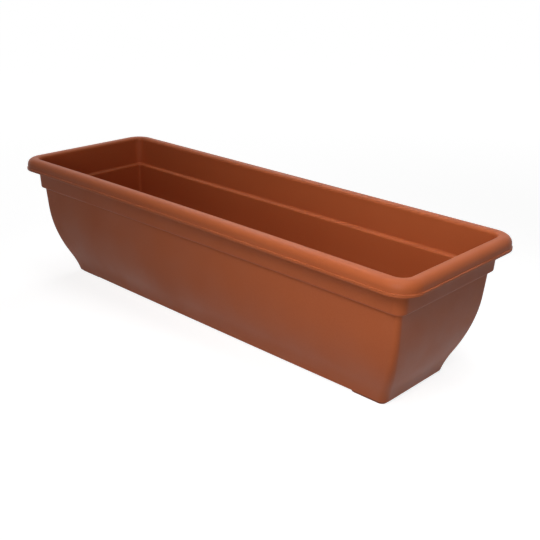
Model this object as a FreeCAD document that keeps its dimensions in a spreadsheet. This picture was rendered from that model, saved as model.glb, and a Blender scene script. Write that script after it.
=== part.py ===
import FreeCAD, Part
import math
import os
import re
import Sketcher

# A 60 cm window box: one thin-walled plastic trough with a rolled rim, a
# drawn-in neck, a bell-shaped body on two low feet, and push-in drain plugs.
# Millimetres. The origin is under the middle of the trough, on the ground:
# X runs along the length, the front wall faces -Y and Z points up.
# "Inset" is always the distance in from the upright plane of the outermost
# edge of the rim, and it is the same on the long walls and on the ends.

SIZES = [
    # The whole trough
    ("overall_length", 600.0),
    ("overall_width", 200.0),
    ("overall_height", 154.0),
    ("wall_thickness", 2.2),
    ("floor_thickness", 2.6),
    ("draft_angle", 3.5),
    # Rolled rim: a crest rounded on both sides, a nearly upright skirt and a small lip
    ("roll_radius", 7.8),
    ("crest_flat", 2.8),
    ("inner_roll_radius", 4.0),
    ("rim_drop", 14.1),
    ("skirt_lean", 0.6),
    ("lip_height", 3.2),
    ("lip_proud", 0.6),
    ("lip_round", 0.5),
    # Neck under the rim, and the step where it meets the body
    ("ledge_height", 115.4),
    ("ledge_step", 5.0),
    ("ledge_round", 1.5),
    ("neck_corner_radius", 10.6),
    # Bell-shaped body: a straight top, a shoulder arc and a foot arc
    ("straight_height", 27.5),
    ("shoulder_radius", 163.0),
    ("flare_angle", 25.0),
    ("foot_arc_radius", 252.0),
    ("base_round", 1.2),
    ("floor_round", 3.0),
    # Two low hollow feet, one under each end
    ("foot_height", 2.5),
    ("foot_length", 42.0),
    ("foot_margin", 2.5),
    ("foot_corner_radius", 6.0),
    # Drain holes in the floor, with a shallow seat round each one
    ("drain_columns", 3),
    ("drain_rows", 2),
    ("drain_column_spacing", 140.0),
    ("drain_row_spacing", 48.0),
    ("drain_diameter", 16.0),
    ("seat_depth", 1.0),
    # Drain plug: flange, hollow stem and a knob to pull it out by
    ("plug_clearance", 0.2),
    ("seat_clearance", 0.5),
    ("flange_diameter", 25.0),
    ("flange_thickness", 1.8),
    ("flange_round", 0.6),
    ("stem_wall", 1.5),
    ("stem_reach", 1.2),
    ("stem_chamfer", 0.6),
    ("knob_height", 7.0),
    ("knob_diameter", 9.0),
    ("knob_head", 3.0),
    ("knob_waist_diameter", 6.0),
    ("knob_round", 1.0),
]

doc = FreeCAD.newDocument("window_box")
sheet = doc.addObject("Spreadsheet::Sheet", "sizes")
for row, (alias, size) in enumerate(SIZES, start=1):
    sheet.set(f"A{row}", alias)
    sheet.set(f"B{row}", str(size))
    sheet.setAlias(f"B{row}", alias)
doc.recompute()


def bound(formula):
    """Turn a formula of size names into an expression on the sheet."""
    return re.sub(r"[a-z]+(?:_[a-z]+)+", lambda name: "sizes." + name.group(), formula)


def value(formula):
    """The present value of a formula of size names."""
    return float(sheet.evalExpression(bound(formula)))


# Places that several pieces share, as formulas of the sizes.
CREST_INSET = "(lip_proud + skirt_lean + roll_radius)"
SKIRT_TOP = "(overall_height - roll_radius)"
NECK_TOP = "(overall_height - inner_roll_radius)"
NECK_TOP_INSET = f"({CREST_INSET} + crest_flat + inner_roll_radius - wall_thickness)"
NECK_INSET = f"({NECK_TOP_INSET} + ({NECK_TOP} - ledge_height) * tan(draft_angle))"
SHELF_EDGE = "((ledge_round + wall_thickness) / 2)"
BODY_INSET = f"({NECK_INSET} + ledge_step)"
BODY_CORNER_RADIUS = "(neck_corner_radius - ledge_step)"
SHOULDER_INSET = f"({BODY_INSET} + straight_height * tan(draft_angle))"
SHOULDER_HEIGHT = "(ledge_height - straight_height)"
WAIST_INSET = f"({SHOULDER_INSET} + shoulder_radius * (cos(draft_angle) - cos(flare_angle)))"
WAIST_HEIGHT = f"({SHOULDER_HEIGHT} - shoulder_radius * (sin(flare_angle) - sin(draft_angle)))"
FLOOR_TOP = "(foot_height + floor_thickness)"
SEAT_HEIGHT = f"({FLOOR_TOP} - seat_depth)"


def bell_inset(height, offset):
    """Inset of the foot arc at a height, on the skin that lies `offset` inside the outer one."""
    centre_inset = f"({WAIST_INSET} - foot_arc_radius * cos(flare_angle))"
    drop = f"({height} - {WAIST_HEIGHT} + foot_arc_radius * sin(flare_angle))"
    return f"({centre_inset} + sqrt(pow(foot_arc_radius + {offset}; 2) - pow({drop}; 2)))"


BASE_INSET = bell_inset("foot_height", "0")


def new_body(name):
    """A named piece."""
    body = doc.addObject("PartDesign::Body", name)
    body.Label = name
    return body


def new_sketch(body, name, plane, height="0"):
    """A sketch on one of the body's own origin planes, raised along the plane's normal."""
    sketch = body.newObject("Sketcher::SketchObject", name)
    origin_plane = next(item for item in body.Origin.OriginFeatures if item.Role == plane)
    sketch.AttachmentSupport = [(origin_plane, "")]
    sketch.MapMode = "FlatFace"
    sketch.setExpression("AttachmentOffset.Base.z", bound(height))
    return sketch


def pin(sketch, side, end, place):
    """Hold one end of a side at a place given by two formulas."""
    for kind, formula in zip(("DistanceX", "DistanceY"), place):
        constraint = sketch.addConstraint(Sketcher.Constraint(kind, side, end, value(formula)))
        sketch.setExpression(f"Constraints[{constraint}]", bound(formula))


def arc_between(start, end, radius, turn):
    """The short arc from start to end, turning left (1) or right (-1)."""
    chord = end - start
    rise = math.sqrt(max(radius ** 2 - (chord.Length / 2) ** 2, 0))
    left = FreeCAD.Vector(-chord.y, chord.x, 0).normalize()
    centre = (start + end) / 2 + left * rise * turn
    circle = Part.Circle(centre, FreeCAD.Vector(0, 0, 1), radius)
    first, last = (start, end) if turn > 0 else (end, start)
    angles = [math.atan2(point.y - centre.y, point.x - centre.x) for point in (first, last)]
    return Part.ArcOfCircle(circle, *angles)


def draw_outline(sketch, corners):
    """Draw a closed outline. A corner is (x, y) or, where an arc leaves it, (x, y, radius, turn)."""
    places = [FreeCAD.Vector(value(corner[0]), value(corner[1]), 0) for corner in corners]
    sides = []
    for number, corner in enumerate(corners):
        start, end = places[number], places[(number + 1) % len(places)]
        if len(corner) == 2:
            side = sketch.addGeometry(Part.LineSegment(start, end), False)
            sides.append((side, 1, 2))
            continue
        radius, turn = corner[2], corner[3]
        side = sketch.addGeometry(arc_between(start, end, value(radius), turn), False)
        sides.append((side, 1, 2) if turn > 0 else (side, 2, 1))
        constraint = sketch.addConstraint(Sketcher.Constraint("Radius", side, value(radius)))
        sketch.setExpression(f"Constraints[{constraint}]", bound(radius))
    for number, (side, first, last) in enumerate(sides):
        following, following_first, _ = sides[(number + 1) % len(sides)]
        sketch.addConstraint(Sketcher.Constraint("Coincident", side, last, following, following_first))
        pin(sketch, side, first, corners[number][:2])


def rounded_rectangle(centre, half_length, half_width, radius):
    """Corners of a rounded rectangle, counter-clockwise, centred on the X axis."""
    corners = []
    for x_sign, y_sign in ((1, -1), (1, 1), (-1, 1), (-1, -1)):
        side_x = f"{centre} + {x_sign} * {half_length}"
        side_y = f"{y_sign} * {half_width}"
        back_x = f"{centre} + {x_sign} * ({half_length} - {radius})"
        back_y = f"{y_sign} * ({half_width} - {radius})"
        ends = [(back_x, side_y), (side_x, back_y)]
        if x_sign != -y_sign:
            ends.reverse()
        corners.append((*ends[0], radius, 1))
        corners.append(ends[1])
    return corners


def pad(body, sketch, name, length, both_sides=False):
    """Raise a sketch into a block."""
    feature = body.newObject("PartDesign::Pad", name)
    feature.Profile = sketch
    feature.SideType = "Symmetric" if both_sides else "One side"
    feature.setExpression("Length", bound(length))
    doc.recompute()
    return feature


def pocket(body, sketch, name, depth=None):
    """Cut a sketch down to a depth, or right through both ways; it must remove material."""
    before = body.Shape.Volume
    feature = body.newObject("PartDesign::Pocket", name)
    feature.Profile = sketch
    if depth is None:
        feature.SideType = "Symmetric"
        feature.Type = "ThroughAll"
    else:
        feature.setExpression("Length", bound(depth))
    doc.recompute()
    if not body.Shape.Volume < before:
        raise RuntimeError(name + " cuts nothing")
    return feature


def fillet(body, base, name, radius, wanted):
    """Round every edge of the base that the test picks."""
    edges = [f"Edge{number}" for number, edge in enumerate(base.Shape.Edges, start=1) if wanted(edge)]
    feature = body.newObject("PartDesign::Fillet", name)
    feature.Base = (base, edges)
    feature.setExpression("Radius", bound(radius))
    doc.recompute()
    return feature


def climbs(edge):
    """True for an edge that rises, as the four upright corners do."""
    heights = [vertex.Z for vertex in edge.Vertexes]
    return max(heights) - min(heights) > 0.1


def lies_at(height):
    """A test for edges that lie level at a height."""
    return lambda edge: all(abs(point.z - height) < 0.01 for point in edge.discretize(5))


def bell_side(half_size, mirror, offset, bottom, top):
    """One bell-shaped wall from bottom to top, at +half_size or mirrored, as outline corners."""
    insets = [
        (bell_inset(bottom, offset), bottom, f"(foot_arc_radius + {offset})", -mirror),
        (
            f"({WAIST_INSET} + {offset} * cos(flare_angle))",
            f"({WAIST_HEIGHT} + {offset} * sin(flare_angle))",
            f"(shoulder_radius - {offset})",
            mirror,
        ),
        (
            f"({SHOULDER_INSET} + {offset} * cos(draft_angle))",
            f"({SHOULDER_HEIGHT} + {offset} * sin(draft_angle))",
        ),
        (
            f"({BODY_INSET} + {offset} / cos(draft_angle) - ({top} - ledge_height) * tan(draft_angle))",
            top,
        ),
    ]
    return [(f"{mirror} * ({half_size} - {inset})", *rest) for inset, *rest in insets]


def bell_block(body, name, offset, bottom, top):
    """A solid block whose four walls are all bell-shaped, with its upright corners rounded."""
    section = new_sketch(body, name + "_section", "YZ_Plane")
    right = bell_side("overall_width / 2", 1, offset, bottom, top)
    left = bell_side("overall_width / 2", -1, offset, bottom, top)
    # The left wall is drawn downwards, so each arc belongs to the corner above it.
    shoulder_arc, foot_arc = left[1][2:], left[0][2:]
    down = [
        left[3],
        (*left[2], shoulder_arc[0], -shoulder_arc[1]),
        (*left[1][:2], foot_arc[0], -foot_arc[1]),
        left[0][:2],
    ]
    draw_outline(section, right + down)
    pad(body, section, name + "_walls", "overall_length", both_sides=True)
    ends = new_sketch(body, name + "_end_cut", "XZ_Plane")
    for mirror in (1, -1):
        beyond = f"{mirror} * overall_length"
        side = bell_side("overall_length / 2", mirror, offset, bottom, top)
        draw_outline(ends, side + [(beyond, top), (beyond, bottom)])
    cut = pocket(body, ends, name + "_ends")
    return fillet(body, cut, name + "_corners", f"{BODY_CORNER_RADIUS} - {offset}", climbs)


def make_cavity():
    """The soil space of the body, as a solid to cut away."""
    body = new_body("soil_space")
    top = "(ledge_height + 2 * wall_thickness)"
    block = bell_block(body, "cavity", "wall_thickness", FLOOR_TOP, top)
    fillet(body, block, "floor_edge", "floor_round", lies_at(value(FLOOR_TOP)))
    return body


def rim_section():
    """Outline of the neck wall, the crest, the skirt and the lip, at the +X end."""
    skirt_inset = "(lip_proud + skirt_lean)"
    lip_bottom = "(overall_height - rim_drop)"
    lip_top = f"({lip_bottom} + lip_height)"
    crest_end = f"{CREST_INSET} + crest_flat"
    underside = "overall_height - wall_thickness"
    corners = [
        (f"{NECK_INSET} + wall_thickness", "ledge_height"),
        (f"{NECK_INSET} + ledge_round", "ledge_height", "ledge_round", 1),
        (f"{NECK_INSET} - ledge_round * tan(draft_angle)", "ledge_height + ledge_round"),
        (NECK_TOP_INSET, NECK_TOP, "(inner_roll_radius - wall_thickness)", -1),
        (crest_end, underside),
        (CREST_INSET, underside, "(roll_radius - wall_thickness)", -1),
        (f"{skirt_inset} + wall_thickness", SKIRT_TOP),
        ("lip_proud + wall_thickness", lip_bottom),
        ("lip_round", lip_bottom, "lip_round", 1),
        ("0", f"{lip_bottom} + lip_round"),
        ("0", f"{lip_top} - lip_proud"),
        ("lip_proud", lip_top),
        (skirt_inset, SKIRT_TOP, "roll_radius", 1),
        (CREST_INSET, "overall_height"),
        (crest_end, "overall_height", "inner_roll_radius", 1),
        (f"{NECK_TOP_INSET} + wall_thickness", NECK_TOP),
    ]
    return [(f"overall_length / 2 - ({inset})", *rest) for inset, *rest in corners]


def make_rim(body):
    """Sweep the rim section round the neck."""
    path = new_sketch(body, "neck_path", "XY_Plane")
    half_length = f"(overall_length / 2 - {NECK_INSET})"
    half_width = f"(overall_width / 2 - {NECK_INSET})"
    draw_outline(path, rounded_rectangle("0", half_length, half_width, "neck_corner_radius"))
    section = new_sketch(body, "rim_outline", "XZ_Plane")
    draw_outline(section, rim_section())
    rim = body.newObject("PartDesign::AdditivePipe", "rolled_rim")
    rim.Profile = section
    rim.Spine = path
    doc.recompute()
    return rim


def make_ledge(body):
    """The level shelf that joins the neck to the top of the body; its edge ends inside the neck wall."""
    shelf = new_sketch(body, "ledge_outline", "XY_Plane", "ledge_height")
    half_length = f"(overall_length / 2 - {NECK_INSET} - {SHELF_EDGE})"
    half_width = f"(overall_width / 2 - {NECK_INSET} - {SHELF_EDGE})"
    radius = f"(neck_corner_radius - {SHELF_EDGE})"
    draw_outline(shelf, rounded_rectangle("0", half_length, half_width, radius))
    return pad(body, shelf, "ledge", "wall_thickness")


def foot_outlines(sketch, inward):
    """The two foot pads, drawn smaller by `inward` on every side."""
    outer_end = f"(overall_length / 2 - {BASE_INSET} - foot_margin)"
    half_length = f"(foot_length / 2 - {inward})"
    half_width = f"(overall_width / 2 - {BASE_INSET} - foot_margin - {inward})"
    for mirror in (1, -1):
        centre = f"{mirror} * ({outer_end} - foot_length / 2)"
        radius = f"(foot_corner_radius - {inward})"
        draw_outline(sketch, rounded_rectangle(centre, half_length, half_width, radius))


def drain_places():
    """Centre of every drain hole, as two formulas."""
    columns, rows = int(value("drain_columns")), int(value("drain_rows"))
    for row in range(rows):
        for column in range(columns):
            x = f"({column} - (drain_columns - 1) / 2) * drain_column_spacing"
            y = f"({row} - (drain_rows - 1) / 2) * drain_row_spacing"
            yield x, y


def drain_circles(sketch, radius):
    """A circle on the centre of every drain hole."""
    for place in drain_places():
        circle = Part.Circle(FreeCAD.Vector(value(place[0]), value(place[1]), 0), FreeCAD.Vector(0, 0, 1), 1)
        side = sketch.addGeometry(circle, False)
        pin(sketch, side, 3, place)
        constraint = sketch.addConstraint(Sketcher.Constraint("Radius", side, value(radius)))
        sketch.setExpression(f"Constraints[{constraint}]", bound(radius))


def make_trough():
    """The moulded trough: body, ledge, neck, rim and feet in one piece, hollowed out."""
    cavity = make_cavity()
    body = new_body("trough")
    block = bell_block(body, "outer", "0", "foot_height", "ledge_height")
    fillet(body, block, "base_edge", "base_round", lies_at(value("foot_height")))
    feet = new_sketch(body, "foot_outline", "XY_Plane")
    foot_outlines(feet, "0")
    pad(body, feet, "feet", "foot_height + base_round")
    make_ledge(body)
    hollow = body.newObject("PartDesign::Boolean", "hollow")
    hollow.Type = "Cut"
    hollow.Group = [cavity]
    doc.recompute()
    rim = make_rim(body)
    on_ledge = lies_at(value("ledge_height + wall_thickness"))
    fillet(body, rim, "ledge_edges", "ledge_round", on_ledge)
    wells = new_sketch(body, "foot_well_outline", "XY_Plane", FLOOR_TOP)
    foot_outlines(wells, "wall_thickness")
    pocket(body, wells, "foot_wells", "foot_height")
    seats = new_sketch(body, "seat_outline", "XY_Plane", FLOOR_TOP)
    drain_circles(seats, "flange_diameter / 2 + seat_clearance")
    pocket(body, seats, "drain_seats", "seat_depth")
    holes = new_sketch(body, "hole_outline", "XY_Plane", FLOOR_TOP)
    drain_circles(holes, "drain_diameter / 2")
    pocket(body, holes, "drain_holes", "floor_thickness")
    return body


def plug_section():
    """Half section of a drain plug, as (radius, height above its seat)."""
    stem = "(drain_diameter / 2 - plug_clearance)"
    stem_end = f"({SEAT_HEIGHT} - foot_height + stem_reach)"
    top = "(flange_thickness + knob_height)"
    flange = "(flange_diameter / 2)"
    knob = "(knob_diameter / 2)"
    waist = "(knob_waist_diameter / 2)"
    return [
        ("0", "0"),
        (f"{stem} - stem_wall", "0"),
        (f"{stem} - stem_wall", f"-{stem_end}"),
        (f"{stem} - stem_chamfer", f"-{stem_end}"),
        (stem, f"stem_chamfer - {stem_end}"),
        (stem, "0"),
        (flange, "0"),
        (flange, "flange_thickness - flange_round", "flange_round", 1),
        (f"{flange} - flange_round", "flange_thickness"),
        (waist, "flange_thickness"),
        (waist, f"{top} - knob_head - {knob} + {waist}"),
        (knob, f"{top} - knob_head"),
        (knob, f"{top} - knob_round", "knob_round", 1),
        (f"{knob} - knob_round", top),
        ("0", top),
    ]


def make_plug(number, place):
    """One drain plug, turned about its own axis and standing in its seat."""
    body = new_body(f"drain_plug_{number}")
    section = new_sketch(body, f"plug_{number}_section", "XZ_Plane")
    draw_outline(section, plug_section())
    turned = body.newObject("PartDesign::Revolution", f"plug_{number}_shape")
    turned.Profile = section
    turned.ReferenceAxis = (section, ["V_Axis"])
    body.setExpression("Placement.Base.x", bound(place[0]))
    body.setExpression("Placement.Base.y", bound(place[1]))
    body.setExpression("Placement.Base.z", bound(SEAT_HEIGHT))
    doc.recompute()
    return body


pieces = [make_trough()]
for number, place in enumerate(drain_places(), start=1):
    pieces.append(make_plug(number, place))

doc.recompute()
for item in doc.Objects:
    if "Invalid" in item.State or "Error" in item.State:
        raise RuntimeError("not rebuilt: " + item.Name)
for piece in pieces:
    if piece.Shape.isNull() or not piece.Shape.isValid() or len(piece.Shape.Solids) != 1:
        raise RuntimeError("not one sound solid: " + piece.Label)

os.makedirs("parts", exist_ok=True)
for piece in pieces:
    piece.Shape.exportStep(f"parts/{piece.Label}.step")
    box = piece.Shape.optimalBoundingBox()
    print(piece.Label, f"{box.XLength:.2f} x {box.YLength:.2f} x {box.ZLength:.2f}",
          f"z {box.ZMin:.2f} to {box.ZMax:.2f}", f"volume {piece.Shape.Volume / 1000:.1f} cm3")
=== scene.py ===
# %% [markdown]
# # A terracotta plastic window box
#
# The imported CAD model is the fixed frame: one moulded trough and six small drain plugs.
# Everything below dresses that frame in metres, with the same axes. The origin is under
# the middle of the trough, X runs along its length, the front faces -Y and Z points up.

# %% Load the frame
import math

import bmesh
import bpy
from mathutils import Matrix, Vector


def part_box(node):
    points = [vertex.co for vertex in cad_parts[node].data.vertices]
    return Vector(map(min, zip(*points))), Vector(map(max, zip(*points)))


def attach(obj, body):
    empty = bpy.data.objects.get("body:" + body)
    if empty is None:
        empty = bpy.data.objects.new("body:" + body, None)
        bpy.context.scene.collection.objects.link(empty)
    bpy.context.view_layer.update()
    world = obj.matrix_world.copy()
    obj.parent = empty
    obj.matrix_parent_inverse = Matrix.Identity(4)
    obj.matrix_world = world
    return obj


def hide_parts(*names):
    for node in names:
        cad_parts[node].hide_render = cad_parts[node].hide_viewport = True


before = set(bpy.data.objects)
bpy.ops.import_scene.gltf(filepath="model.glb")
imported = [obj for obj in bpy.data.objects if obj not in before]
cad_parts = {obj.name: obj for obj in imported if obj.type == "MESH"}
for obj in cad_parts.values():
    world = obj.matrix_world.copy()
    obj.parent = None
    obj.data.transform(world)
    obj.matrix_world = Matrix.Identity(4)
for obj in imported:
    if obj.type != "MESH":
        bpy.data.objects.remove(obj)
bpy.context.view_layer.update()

print("CAD nodes:", ", ".join(sorted(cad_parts)))

# %% [markdown]
# ## The camera
#
# The photograph looks down on the box from in front of its right end, so the long side
# runs away to the left. A camera can be aimed at an empty, or be given its place and
# three angles. The angles are used here, because the picture is also turned a little
# about the line of sight, and each number can then be read and changed on its own.

# %% Place the camera
CAMERA_PLACE = Vector((0.6709, -0.6749, 0.4378))
CAMERA_YAW = math.radians(-42.68)
CAMERA_PITCH = math.radians(21.78)
CAMERA_ROLL = math.radians(1.13)
CAMERA_LENS = 57.96
NEAREST_SEEN = 0.01


def aimed(place, yaw, pitch, roll):
    """A camera's matrix: yaw turns it from +Y towards +X, pitch tips it down, roll leans it."""
    level_ahead = Vector((math.sin(yaw), math.cos(yaw), 0))
    ahead = math.cos(pitch) * level_ahead - Vector((0, 0, math.sin(pitch)))
    level = Vector((math.cos(yaw), -math.sin(yaw), 0))
    upright = level.cross(ahead)
    right = math.cos(roll) * level + math.sin(roll) * upright
    up = math.cos(roll) * upright - math.sin(roll) * level
    turned = Matrix((right, up, -ahead)).transposed().to_4x4()
    return Matrix.Translation(place) @ turned


camera_data = bpy.data.cameras.new("photo_camera")
camera_data.lens = CAMERA_LENS
camera_data.clip_start = NEAREST_SEEN
camera = bpy.data.objects.new("photo_camera", camera_data)
bpy.context.scene.collection.objects.link(camera)
camera.matrix_world = aimed(CAMERA_PLACE, CAMERA_YAW, CAMERA_PITCH, CAMERA_ROLL)
bpy.context.scene.camera = camera
print("camera", [round(x, 3) for x in camera.location], "lens", camera_data.lens)

# %% [markdown]
# ## The sizes of the trough
#
# The trough is one injection moulding with the same wall all over. Its outside box comes
# from the CAD node, which keeps it true to the frame. It could be typed in again, but then
# a change in the CAD would be missed. The rest are the sizes that its walls are drawn
# from. "Inset" is the distance in from the outermost edge of the rim, and it is the same
# on all four sides. The crest is the top of the rolled rim, the skirt its outer face and
# the lip the narrow band at its lower edge. The ledge is the step between neck and body.

# %% Trough sizes
low_corner, high_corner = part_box("trough")
HALF_LENGTH = (high_corner.x - low_corner.x) / 2
HALF_WIDTH = (high_corner.y - low_corner.y) / 2
TOP = high_corner.z

WALL = 0.0022
DRAFT = math.radians(3.5)
CREST_RADIUS = 0.0078
CREST_FLAT = 0.0028
INNER_CREST_RADIUS = 0.0040
SKIRT_LEAN = 0.0003
LIP_PROUD = 0.0009
LIP_HEIGHT = 0.0032
LIP_ROUND = 0.0007
RIM_DROP = 0.0141

LEDGE = 0.1154
LEDGE_STEP = 0.0050
LEDGE_ROUND = 0.0019
STEP_CREASE = 0.0004
NECK_CORNER = 0.0106

STRAIGHT_HEIGHT = 0.0263
SHOULDER_RADIUS = 0.1684
FLARE = math.radians(26.2)
FOOT_ARC_RADIUS = 0.104
BASE = 0.0025
BASE_ROUND = 0.0007
BASE_EDGE = 0.0008
BASE_CORNER = 0.0085
FLOOR = 0.0051
FLOOR_ROUND = 0.0030
FLOOR_EDGE = 0.0026

crest_inset = LIP_PROUD + SKIRT_LEAN + CREST_RADIUS
neck_top_height = TOP - INNER_CREST_RADIUS
neck_top_inset = crest_inset + CREST_FLAT + INNER_CREST_RADIUS - WALL
neck_inset = neck_top_inset + (neck_top_height - LEDGE) * math.tan(DRAFT)
body_inset = neck_inset + LEDGE_STEP
print("neck inset", round(neck_inset, 5), "body inset", round(body_inset, 5))

# %% [markdown]
# ## The bell-shaped wall
#
# Below the neck each wall drops almost straight, rolls inwards on a shoulder, and then
# straightens again towards the foot. That is a line and two arcs that meet smoothly, so
# one function gives the wall's inset at any height. The inside of the wall is the same
# curve moved inwards, which only makes one arc larger and the other smaller.

# %% Bell curve
shoulder_inset = body_inset + STRAIGHT_HEIGHT * math.tan(DRAFT)
shoulder_height = LEDGE - STRAIGHT_HEIGHT
waist_inset = shoulder_inset + SHOULDER_RADIUS * (math.cos(DRAFT) - math.cos(FLARE))
waist_height = shoulder_height - SHOULDER_RADIUS * (math.sin(FLARE) - math.sin(DRAFT))


def bell_inset(height, depth=0.0):
    """Inset of the wall at a height, on the skin that lies `depth` inside the outer one."""
    if height >= shoulder_height + depth * math.sin(DRAFT):
        return body_inset + depth / math.cos(DRAFT) + (LEDGE - height) * math.tan(DRAFT)
    if height >= waist_height + depth * math.sin(FLARE):
        radius = SHOULDER_RADIUS - depth
        rise = height - shoulder_height - SHOULDER_RADIUS * math.sin(DRAFT)
        return shoulder_inset + SHOULDER_RADIUS * math.cos(DRAFT) - math.sqrt(radius**2 - rise**2)
    radius = FOOT_ARC_RADIUS + depth
    rise = height - waist_height + FOOT_ARC_RADIUS * math.sin(FLARE)
    return waist_inset - FOOT_ARC_RADIUS * math.cos(FLARE) + math.sqrt(radius**2 - rise**2)


for height in (BASE, waist_height, shoulder_height, LEDGE):
    print("wall inset at", round(height, 4), "is", round(bell_inset(height), 4))

# %% [markdown]
# ## One section for the whole wall
#
# A moulding like this has the same section all the way round, so it is drawn once: up
# the outside from under the floor, under and over the rolled rim, and down the inside to
# the floor. A bevel modifier could round the edges afterwards, but it would round them
# all alike. Here every corner of the section carries its own radius.

# %% Draw the section
ARC_STEPS = 6
WALL_STEPS = 26


def softened(corners):
    """A line through (inset, height, radius) corners, with every corner rounded to its radius."""
    line = []
    for number, (inset, height, radius) in enumerate(corners):
        here = Vector((inset, height))
        if not radius:
            line.append(here)
            continue
        back = (Vector(corners[number - 1][:2]) - here).normalized()
        onward = (Vector(corners[number + 1][:2]) - here).normalized()
        half_angle = back.angle(onward) / 2
        centre = here + (back + onward).normalized() * (radius / math.sin(half_angle))
        reach = radius / math.tan(half_angle)
        start, end = here + back * reach - centre, here + onward * reach - centre
        for step in range(ARC_STEPS + 1):
            line.append(centre + radius * start.slerp(end, step / ARC_STEPS))
    return line


def wall_heights(bottom, top):
    """Heights up a wall, between a rounded bottom corner and a rounded top corner."""
    return [bottom + (top - bottom) * step / WALL_STEPS for step in range(1, WALL_STEPS)]


def outside_corners():
    """From under the floor up to the lip of the rim."""
    base_inset = bell_inset(BASE)
    corners = [(base_inset + BASE_EDGE, BASE, 0), (base_inset, BASE, BASE_ROUND)]
    corners += [(bell_inset(height), height, 0) for height in wall_heights(BASE, LEDGE)]
    corners += [
        (body_inset, LEDGE, STEP_CREASE),
        (neck_inset, LEDGE, LEDGE_ROUND),
        (neck_top_inset, TOP - WALL, INNER_CREST_RADIUS - WALL),
        (LIP_PROUD + SKIRT_LEAN + WALL, TOP - WALL, CREST_RADIUS - WALL),
        (LIP_PROUD + WALL, TOP - RIM_DROP, LIP_ROUND),
    ]
    return corners


def rim_corners():
    """Round the lip, up the skirt and over the crest."""
    lip_bottom = TOP - RIM_DROP
    lip_top = lip_bottom + LIP_HEIGHT
    return [
        (0, lip_bottom, LIP_ROUND),
        (0, lip_top - LIP_PROUD / 2, LIP_ROUND / 2),
        (LIP_PROUD, lip_top, LIP_ROUND / 2),
        (LIP_PROUD + SKIRT_LEAN, TOP, CREST_RADIUS),
        (neck_top_inset + WALL, TOP, INNER_CREST_RADIUS),
    ]


def inside_corners():
    """Down the neck, over the ledge and down the body to the floor."""
    ledge_top = LEDGE + WALL
    neck_inside = neck_inset + WALL - WALL * math.tan(DRAFT)
    floor_inset = bell_inset(FLOOR, WALL)
    corners = [
        (neck_inside, ledge_top, LEDGE_ROUND),
        (bell_inset(ledge_top, WALL), ledge_top, LEDGE_ROUND),
    ]
    heights = wall_heights(FLOOR, ledge_top)
    corners += [(bell_inset(height, WALL), height, 0) for height in reversed(heights)]
    corners += [(floor_inset, FLOOR, FLOOR_ROUND), (floor_inset + FLOOR_EDGE, FLOOR, 0)]
    return corners


section = softened(outside_corners() + rim_corners() + inside_corners())
print("section points:", len(section))

# %% [markdown]
# ## From the section to the skin
#
# Each point of the section becomes a closed ring round the box, and neighbouring rings
# are joined by four-sided faces. A curve with a bevel object would be shorter to write,
# but the corners of a real moulding open up towards the foot, and its long front wall
# has drawn in a few millimetres at the rim while it cooled and swells a little at the
# foot. With rings, the corner radius and that bow can follow the height.

# %% Rings round the trough
CORNER_STEPS = 12
LONG_STEPS = 56
SHORT_STEPS = 18
RIM_BOW = 0.0035
BASE_BOW = -0.0015
SMALLEST_CORNER = 0.0008


def share_of_height(height):
    """0 at the foot of the wall, 1 at the ledge and above."""
    return min(max((height - BASE) / (LEDGE - BASE), 0), 1)


def corner_radius(inset, height):
    """Radius of the ring's corners: parallel to the neck above the ledge, wider at the foot."""
    if height > LEDGE:
        radius = NECK_CORNER + neck_inset - inset
    else:
        share = share_of_height(height)
        outer = BASE_CORNER + (NECK_CORNER - LEDGE_STEP - BASE_CORNER) * share
        radius = outer + bell_inset(max(height, BASE)) - inset
    return max(radius, SMALLEST_CORNER)


def rounded_outline(half_length, half_width, radius, long_steps, short_steps):
    """Points round a rounded rectangle, counter-clockwise, with the same count at any size."""
    inner_x, inner_y = half_length - radius, half_width - radius
    points = []
    quarters = (((1, -1), -90, short_steps), ((1, 1), 0, long_steps))
    quarters += (((-1, 1), 90, short_steps), ((-1, -1), 180, long_steps))
    for number, ((side_x, side_y), first_angle, steps) in enumerate(quarters):
        centre = Vector((side_x * inner_x, side_y * inner_y))
        for step in range(CORNER_STEPS + 1):
            angle = math.radians(first_angle + 90 * step / CORNER_STEPS)
            points.append(centre + radius * Vector((math.cos(angle), math.sin(angle))))
        next_x, next_y = quarters[(number + 1) % 4][0]
        end = Vector((next_x * inner_x, next_y * inner_y)) + points[-1] - centre
        start = points[-1]
        points += [start.lerp(end, step / steps) for step in range(1, steps)]
    return points


def bowed(point, height):
    """A point of a ring with the front wall's bow: inwards at the rim, outwards at the foot."""
    bow = BASE_BOW + (RIM_BOW - BASE_BOW) * share_of_height(height)
    along = 1 - (point.x / HALF_LENGTH) ** 2
    towards_front = max(-point.y, 0) / HALF_WIDTH
    return Vector((point.x, point.y + bow * along * towards_front, height))


def ring_places(inset, height):
    """The ring that one point of the section makes."""
    radius = corner_radius(inset, height)
    outline = rounded_outline(
        HALF_LENGTH - inset, HALF_WIDTH - inset, radius, LONG_STEPS, SHORT_STEPS
    )
    return [bowed(point, height) for point in outline]


def add_loop(mesh, places):
    """New vertices for a closed loop."""
    return [mesh.verts.new(place) for place in places]


def join_loops(mesh, loops):
    """Four-sided faces between each loop and the next."""
    for lower, upper in zip(loops, loops[1:]):
        for number in range(len(lower)):
            mesh.faces.new((lower[number - 1], lower[number], upper[number], upper[number - 1]))


skin = bmesh.new()
wall_loops = [add_loop(skin, ring_places(inset, height)) for inset, height in section]
join_loops(skin, wall_loops)
print("rings:", len(wall_loops), "faces in the walls:", len(skin.faces))

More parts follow.
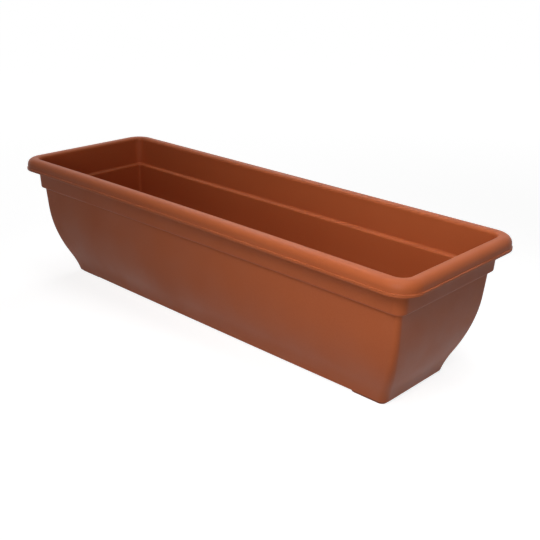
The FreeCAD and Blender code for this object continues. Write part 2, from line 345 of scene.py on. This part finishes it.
# %% [markdown]
# ## Floor, feet and drain holes
#
# The floor closes the skin. From above it has six drain holes, each with a shallow seat
# for its plug, and two wells over the hollow feet. From below the two feet stand proud.
# Boolean cuts would do this too, but they leave ragged faces. Here every opening is a
# loop of its own, the flat surfaces are filled between the loops, and the short upright
# walls join one loop to the next. Each loop has to stay inside the one around it, so a
# well is drawn smaller than its foot, clear of the floor's rounded edge, and the count of
# open edges at the end says whether the surfaces closed.

# %% Floor sizes
FOOT_LENGTH = 0.042
FOOT_END_MARGIN = 0.0025
FOOT_SIDE_MARGINS = {1: 0.0010, -1: 0.0025}
FOOT_CORNER = 0.006
FOOT_STEPS_ALONG = 6
FOOT_STEPS_ACROSS = 16
FOOT_EDGE = 0.0004
WELL_MARGIN = 0.0042
DRAIN_RADIUS = 0.008
SEAT_RADIUS = 0.013
SEAT_DEPTH = 0.001
DRAIN_STEPS = 48
EDGE_SOFTNESS = 0.0003

foot_half_length = FOOT_LENGTH / 2
base_half_width = HALF_WIDTH - bell_inset(BASE)
foot_centre = HALF_LENGTH - bell_inset(BASE) - FOOT_END_MARGIN - foot_half_length
plug_nodes = sorted(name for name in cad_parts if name.startswith("drain_plug"))
plug_centres = [(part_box(name)[0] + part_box(name)[1]) / 2 for name in plug_nodes]
print("feet at x =", round(foot_centre, 4), "and", round(-foot_centre, 4))

# %% [markdown]
# ### Loops and fills
#
# A drain hole is a stack of circles, and a foot or a well is a stack of rounded
# rectangles. Each flat surface is filled with triangles between its outer loop and its
# holes. A grid of four-sided faces would look neater in wire, but nothing bends here, and
# triangles that lie in one plane shade as one face.

# %% Helpers for the openings


def circle_places(centre, radius, height):
    """Points round a drain hole."""
    angles = [2 * math.pi * step / DRAIN_STEPS for step in range(DRAIN_STEPS)]
    return [
        Vector((centre.x + radius * math.cos(a), centre.y + radius * math.sin(a), height))
        for a in angles
    ]


def foot_places(side, inwards, height):
    """Points round one foot, drawn smaller by `inwards`."""
    half_width = base_half_width - FOOT_SIDE_MARGINS[side]
    outline = rounded_outline(
        foot_half_length - inwards,
        half_width - inwards,
        FOOT_CORNER - inwards,
        FOOT_STEPS_ALONG,
        FOOT_STEPS_ACROSS,
    )
    return [Vector((side * foot_centre + point.x, point.y, height)) for point in outline]


def fill_flat(mesh, loops):
    """A flat surface bounded by the first loop, with the others as holes in it."""
    edges = []
    for loop in loops:
        for number, vertex in enumerate(loop):
            pair = (loop[number - 1], vertex)
            edges.append(mesh.edges.get(pair) or mesh.edges.new(pair))
    bmesh.ops.triangle_fill(mesh, use_beauty=True, use_dissolve=False, edges=edges)


# %% [markdown]
# ### Drain holes
#
# Each hole goes down in rungs: the softened edge of the seat, the seat's bottom, and the
# bore through the floor. Its place is read from the plug that fills it, so that hole and
# plug can't drift apart, as two typed lists could.

# %% Make the drain holes
floor_openings = []
base_openings = []
for centre in plug_centres:
    seat = FLOOR - SEAT_DEPTH
    rungs = [
        circle_places(centre, SEAT_RADIUS + EDGE_SOFTNESS, FLOOR),
        circle_places(centre, SEAT_RADIUS, FLOOR - EDGE_SOFTNESS),
        circle_places(centre, SEAT_RADIUS, seat),
        circle_places(centre, DRAIN_RADIUS, seat),
        circle_places(centre, DRAIN_RADIUS, BASE),
    ]
    loops = [add_loop(skin, places) for places in rungs]
    join_loops(skin, loops)
    floor_openings.append(loops[0])
    base_openings.append(loops[-1])

print("drain holes:", len(base_openings))

# %% [markdown]
# ### Wells and feet
#
# A foot is hollow, so that the moulding has no thick lump to sink while it cools: the
# floor dips into it from above. The well and the foot are one outline at two sizes. Two
# separate boxes would be as quick, but their corners would not stay parallel.

# %% Make the wells and the feet
well_floor = FLOOR - BASE
for side in (1, -1):
    rungs = [
        foot_places(side, WELL_MARGIN - EDGE_SOFTNESS, FLOOR),
        foot_places(side, WELL_MARGIN, FLOOR - EDGE_SOFTNESS),
        foot_places(side, WELL_MARGIN, well_floor),
    ]
    loops = [add_loop(skin, places) for places in rungs]
    join_loops(skin, loops)
    floor_openings.append(loops[0])
    fill_flat(skin, [loops[-1]])
    rungs = [
        foot_places(side, 0, BASE),
        foot_places(side, 0, FOOT_EDGE),
        foot_places(side, FOOT_EDGE, 0),
    ]
    loops = [add_loop(skin, places) for places in rungs]
    join_loops(skin, loops)
    base_openings.append(loops[0])
    fill_flat(skin, [loops[-1]])
print("openings in the floor:", len(floor_openings))

# %% [markdown]
# ### Close the skin
#
# Two fills are left: the floor, seen from inside, and the underside. They go in last,
# because each one has to know all of its holes.

# %% Fill the floor and the underside
fill_flat(skin, [wall_loops[-1]] + floor_openings)
fill_flat(skin, [wall_loops[0]] + base_openings)
open_edges = [edge for edge in skin.edges if len(edge.link_faces) != 2]
print("faces:", len(skin.faces), "open edges:", len(open_edges))

# %% [markdown]
# ## The finished trough
#
# The faces are shaded smooth, with a sharp edge only where two surfaces really meet at
# an angle. The weighted normals keep the flat walls flat beside their small rounded
# edges, where plain smooth shading would bend the light over the whole wall.

# %% Make the trough
SHARP_ANGLE = math.radians(38)

bmesh.ops.recalc_face_normals(skin, faces=skin.faces)
trough_mesh = bpy.data.meshes.new("moulded_trough")
skin.to_mesh(trough_mesh)
skin.free()
trough_mesh.shade_smooth()
trough_mesh.set_sharp_from_angle(angle=SHARP_ANGLE)
trough = bpy.data.objects.new("moulded_trough", trough_mesh)
bpy.context.scene.collection.objects.link(trough)
weighting = trough.modifiers.new("flat_walls", "WEIGHTED_NORMAL")
weighting.keep_sharp = True
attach(trough, "trough")
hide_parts("trough")
print("trough vertices:", len(trough_mesh.vertices))

# %% [markdown]
# ## Finishes
#
# The trough is polypropylene with the colour mixed in, so no paint layer can wear
# through. What the eye sees is a fine matt grain from the mould, a slight drift of tone
# along the flow of the plastic, and pale rubbing where it has been slid about. A picture
# texture could show that, but nodes that read the object's own coordinates stay sharp
# from any distance and need no unwrapping.

# %% Colours and new finishes


def display_colour(red, green, blue):
    """A colour as a screen shows it, 0 to 255, turned into the renderer's linear values."""
    channels = [channel / 255 for channel in (red, green, blue)]
    linear = [c / 12.92 if c <= 0.04045 else ((c + 0.055) / 1.055) ** 2.4 for c in channels]
    return (*linear, 1)


def new_finish(name):
    """A material, its node tree and its main shader."""
    material = bpy.data.materials.new(name)
    material.use_nodes = True
    tree = material.node_tree
    return material, tree, tree.nodes["Principled BSDF"]


# %% [markdown]
# ### Grain
#
# Every variation starts as noise, and a range then picks the part of it that is wanted. A
# colour ramp would do both at once, but its stops are harder to read than two limits.

# %% Grain and ranges


def grain(tree, scale, detail, stretch=(1, 1, 1)):
    """Noise over the object's own coordinates; `scale` is in blotches per metre."""
    place = tree.nodes.new("ShaderNodeTexCoord")
    mapping = tree.nodes.new("ShaderNodeMapping")
    mapping.inputs["Scale"].default_value = stretch
    noise = tree.nodes.new("ShaderNodeTexNoise")
    noise.inputs["Scale"].default_value = scale
    noise.inputs["Detail"].default_value = detail
    tree.links.new(place.outputs["Object"], mapping.inputs["Vector"])
    tree.links.new(mapping.outputs["Vector"], noise.inputs["Vector"])
    return noise.outputs["Fac"]


def spread(tree, source, low, high, to_low, to_high):
    """The source's values from low to high, stretched to run from to_low to to_high."""
    remap = tree.nodes.new("ShaderNodeMapRange")
    limits = {"From Min": low, "From Max": high, "To Min": to_low, "To Max": to_high}
    for name, limit in limits.items():
        remap.inputs[name].default_value = limit
    tree.links.new(source, remap.inputs["Value"])
    return remap.outputs["Result"]


# %% [markdown]
# ### Mixing and relief
#
# Colours are mixed by a share, two shares are combined by multiplying them, and the mould's
# grain becomes a faint relief. Real displacement would need far more faces for a grain
# that is a tenth of a millimetre deep.

# %% Mixing and relief


def blended(tree, share, first, second):
    """A mix of two colours, each a fixed colour or a socket."""
    mix = tree.nodes.new("ShaderNodeMix")
    mix.data_type = "RGBA"
    tree.links.new(share, mix.inputs["Factor"])
    for socket, colour in ((mix.inputs[6], first), (mix.inputs[7], second)):
        if isinstance(colour, tuple):
            socket.default_value = colour
        else:
            tree.links.new(colour, socket)
    return mix.outputs[2]


def product(tree, first, second):
    """Two values multiplied."""
    times = tree.nodes.new("ShaderNodeMath")
    times.operation = "MULTIPLY"
    tree.links.new(first, times.inputs[0])
    tree.links.new(second, times.inputs[1])
    return times.outputs["Value"]


def add_bump(tree, shader, height, strength, distance):
    """Relief from a value, on the shader's normal."""
    bump = tree.nodes.new("ShaderNodeBump")
    bump.inputs["Strength"].default_value = strength
    bump.inputs["Distance"].default_value = distance
    tree.links.new(height, bump.inputs["Height"])
    tree.links.new(bump.outputs["Normal"], shader.inputs["Normal"])


# %% [markdown]
# ### Terracotta polypropylene
#
# Two near tones drift into each other over a hand's width, with a finer speckle on top.
# The foot of the walls and the floor are rubbed a little paler, and what lies below the
# walls, the feet and the underside, is painted darker as the shade under the wall's edge.
# The gloss is that of a satin mould: a soft sheen that breaks up on the grain.

# %% Terracotta plastic
TERRACOTTA = display_colour(180, 93, 52)
TERRACOTTA_DEEP = display_colour(175, 88, 48)
TERRACOTTA_RUBBED = display_colour(190, 128, 98)
# painted shade: the colour of the feet as if in the shadow under the wall's bottom edge
TERRACOTTA_PAINTED_SHADE = display_colour(105, 55, 38)
RUBBED_HEIGHT = 0.016
TERRACOTTA_SHEEN = 0.18
SATIN_ROUGHNESS = (0.42, 0.52)
DRIFT_SCALE = 9
SPECKLE_SCALE = 700
SCUFF_SCALE = 60
SCUFF_STRETCH = (0.4, 0.4, 1)
SCUFF_SHARE = 0.35
PAINTED_SHADE_SHARE = 0.7
PAINTED_SHADE_FULL_HEIGHT = BASE * 0.8
SHINE_SCALE = 25
MOULD_GRAIN_SCALE = 1400
MOULD_GRAIN_STRENGTH = 0.25
MOULD_GRAIN_DEPTH = 0.0001


def terracotta_plastic():
    """The trough's finish."""
    material, tree, shader = new_finish("terracotta_plastic")
    drift = spread(tree, grain(tree, DRIFT_SCALE, 2), 0.35, 0.65, 0, 1)
    speckle = spread(tree, grain(tree, SPECKLE_SCALE, 3), 0.3, 0.7, 0, 1)
    tone = blended(tree, product(tree, drift, speckle), TERRACOTTA, TERRACOTTA_DEEP)
    place = tree.nodes.new("ShaderNodeTexCoord")
    split = tree.nodes.new("ShaderNodeSeparateXYZ")
    tree.links.new(place.outputs["Object"], split.inputs["Vector"])
    near_foot = spread(tree, split.outputs["Z"], 0, RUBBED_HEIGHT, SCUFF_SHARE, 0)
    scuffs = spread(tree, grain(tree, SCUFF_SCALE, 4, stretch=SCUFF_STRETCH), 0.52, 0.7, 0, 1)
    colour = blended(tree, product(tree, near_foot, scuffs), tone, TERRACOTTA_RUBBED)
    # painted shade: the feet are darkened towards the ground, standing in for the wall's shadow
    painted_foot_shade = spread(tree, split.outputs["Z"], PAINTED_SHADE_FULL_HEIGHT, BASE, PAINTED_SHADE_SHARE, 0)
    colour = blended(tree, painted_foot_shade, colour, TERRACOTTA_PAINTED_SHADE)
    tree.links.new(colour, shader.inputs["Base Color"])
    shine = spread(tree, grain(tree, SHINE_SCALE, 3), 0.3, 0.7, *SATIN_ROUGHNESS)
    tree.links.new(shine, shader.inputs["Roughness"])
    shader.inputs["Specular IOR Level"].default_value = TERRACOTTA_SHEEN
    mould_grain = grain(tree, MOULD_GRAIN_SCALE, 2)
    add_bump(tree, shader, mould_grain, MOULD_GRAIN_STRENGTH, MOULD_GRAIN_DEPTH)
    return material


trough_mesh.materials.append(terracotta_plastic())
print("trough finish:", trough_mesh.materials[0].name)

# %% [markdown]
# ### Drain plugs
#
# The plugs are small separate mouldings in a softer, darker plastic, so that a hand can
# press them home. Their CAD shape is already right, so it could be drawn again only to
# come out the same. The CAD nodes stay and just get a finish: a darker brown with a
# duller, coarsely grained skin.

# %% Plug plastic
PLUG_BROWN = display_colour(110, 60, 40)
PLUG_BROWN_WORN = display_colour(128, 76, 54)
PLUG_ROUGHNESS = (0.5, 0.62)
PLUG_SPECKLE_SCALE = 450
PLUG_SHINE_SCALE = 120
PLUG_GRAIN_SCALE = 1800
PLUG_GRAIN_STRENGTH = 0.3


def plug_plastic():
    """The drain plugs' finish."""
    material, tree, shader = new_finish("plug_plastic")
    speckle = spread(tree, grain(tree, PLUG_SPECKLE_SCALE, 3), 0.35, 0.7, 0, 1)
    colour = blended(tree, speckle, PLUG_BROWN, PLUG_BROWN_WORN)
    tree.links.new(colour, shader.inputs["Base Color"])
    shine = spread(tree, grain(tree, PLUG_SHINE_SCALE, 2), 0.3, 0.7, *PLUG_ROUGHNESS)
    tree.links.new(shine, shader.inputs["Roughness"])
    plug_grain = grain(tree, PLUG_GRAIN_SCALE, 2)
    add_bump(tree, shader, plug_grain, PLUG_GRAIN_STRENGTH, MOULD_GRAIN_DEPTH)
    return material


plug_finish = plug_plastic()
for name in plug_nodes:
    for material_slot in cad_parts[name].material_slots:
        material_slot.material = plug_finish
print("plugs finished:", len(plug_nodes))

# %% [markdown]
# ## Floor and light
#
# The box stands on a plain white sweep. A real sweep is lit until it turns white, but
# that much light would bleach the plastic. So the floor is a middling grey to the light,
# which keeps the dark line under the rim, and a glow that only the camera and the
# reflections see lifts it to white. The glow is weaker under the box, where the soft
# shadow should stay.

# %% Floor
FLOOR_REACH = 8.0
FLOOR_GAP = 0.0002
FLOOR_GREY = (0.4, 0.4, 0.4, 1)
FLOOR_LIFT = 0.85
SHADOW_REACH = 0.45
WHITE_REACH = 3 * SHADOW_REACH


def studio_floor():
    """A large plain floor, just under the feet."""
    mesh = bpy.data.meshes.new("studio_floor")
    corners = [(-1, -1), (1, -1), (1, 1), (-1, 1)]
    places = [(x * FLOOR_REACH, y * FLOOR_REACH, -FLOOR_GAP) for x, y in corners]
    mesh.from_pydata(places, [], [(0, 1, 2, 3)])
    floor = bpy.data.objects.new("studio_floor", mesh)
    bpy.context.scene.collection.objects.link(floor)
    return floor


# %% [markdown]
# ### White only to the eye
#
# The glow is switched by the kind of ray that meets the floor. A second, invisible floor
# could do the same, but one floor with one material is easier to follow.

# %% Floor finish


def seen_directly(tree):
    """1 for rays from the camera, a reflection or a clear part, 0 for the light's own rays."""
    rays = tree.nodes.new("ShaderNodeLightPath")
    seen = rays.outputs["Is Camera Ray"]
    for name in ("Is Glossy Ray", "Is Transmission Ray"):
        larger = tree.nodes.new("ShaderNodeMath")
        larger.operation = "MAXIMUM"
        tree.links.new(seen, larger.inputs[0])
        tree.links.new(rays.outputs[name], larger.inputs[1])
        seen = larger.outputs["Value"]
    return seen


def floor_finish():
    """White to the eye, an ordinary grey floor to the light."""
    material, tree, shader = new_finish("studio_floor")
    shader.inputs["Base Color"].default_value = FLOOR_GREY
    shader.inputs["Roughness"].default_value = 1.0
    shader.inputs["Specular IOR Level"].default_value = 0.0
    shader.inputs["Emission Color"].default_value = (1, 1, 1, 1)
    place = tree.nodes.new("ShaderNodeTexCoord")
    reach = tree.nodes.new("ShaderNodeVectorMath")
    reach.operation = "LENGTH"
    tree.links.new(place.outputs["Object"], reach.inputs[0])
    lift = spread(tree, reach.outputs["Value"], SHADOW_REACH, WHITE_REACH, FLOOR_LIFT, 1)
    tree.links.new(product(tree, seen_directly(tree), lift), shader.inputs["Emission Strength"])
    return material


floor = studio_floor()
floor.data.materials.append(floor_finish())
print("floor reaches", FLOOR_REACH, "m each way")

# %% [markdown]
# ### Soft lamps
#
# The right end of the box is the brightest and the shade under the rim is deep, so the
# light comes from close by, in front of that end and well above it. One lamp stands low
# enough to reach the walls, a second one looks down on the front, and a narrow one over
# the right end picks out the rim and the ledge, with a fainter one over the left end. Two
# more behind the left end keep the far half from going black. A single large lamp would
# be simpler, but then the light would not fall off along the box as it does in the
# photograph.

# %% Lamps
NARROW_BEAM = 70
OPEN_BEAM = 180
LAMPS = {
    "overhead": {
        "place": (0.25, 0.02, 0.85),
        "aim": (0.25, 0.02, 0),
        "size": 0.40,
        "power": 0.45,
        "beam": NARROW_BEAM,
    },
    "high_front": {
        "place": (0.40, -0.55, 0.62),
        "aim": (0.25, -0.03, 0.08),
        "size": 0.35,
        "power": 0.50,
        "beam": NARROW_BEAM,
    },
    "low_front": {
        "place": (0.56, -0.85, 0.36),
        "aim": (0.12, 0, 0.06),
        "size": 0.30,
        "power": 1.90,
        "beam": OPEN_BEAM,
    },
    "overhead_far": {
        "place": (-0.22, 0, 0.85),
        "aim": (-0.22, 0, 0),
        "size": 0.40,
        "power": 0.20,
        "beam": NARROW_BEAM,
    },
    "back_left": {
        "place": (-0.60, 0.50, 1.0),
        "aim": (0.1, 0, 0.08),
        "size": 0.35,
        "power": 2.1,
        "beam": OPEN_BEAM,
    },
    "left": {
        "place": (-0.60, 0, 1.0),
        "aim": (0.1, 0, 0.08),
        "size": 0.35,
        "power": 1.0,
        "beam": OPEN_BEAM,
    },
}


def add_lamp(name, place, aim, size, power, beam):
    """A square soft lamp facing a point; a narrow beam, in degrees, fades at its sides."""
    data = bpy.data.lights.new(name, "AREA")
    data.size = size
    data.energy = power
    data.spread = math.radians(beam)
    lamp = bpy.data.objects.new(name, data)
    lamp.location = place
    lamp.rotation_euler = (Vector(aim) - Vector(place)).to_track_quat("-Z", "Y").to_euler()
    bpy.context.scene.collection.objects.link(lamp)


for name, lamp in LAMPS.items():
    add_lamp(name, **lamp)
print("lamps:", ", ".join(LAMPS))

# %% [markdown]
# ### The room
#
# The room is pure white where it is seen, in the picture or in a reflection, and leaves
# the lighting to the lamps. A lit room would be the usual way to soften the shadows, but
# it would also fill the dark line under the rim.

# %% White room


def whiten_room():
    """A world that is white where it is seen and gives no light of its own."""
    world = bpy.data.worlds.new("pale_room")
    world.use_nodes = True
    bpy.context.scene.world = world
    tree = world.node_tree
    background = tree.nodes["Background"]
    background.inputs["Color"].default_value = (1, 1, 1, 1)
    tree.links.new(seen_directly(tree), background.inputs["Strength"])


whiten_room()
bpy.context.scene.view_settings.view_transform = "Standard"
print("room:", bpy.context.scene.world.name)
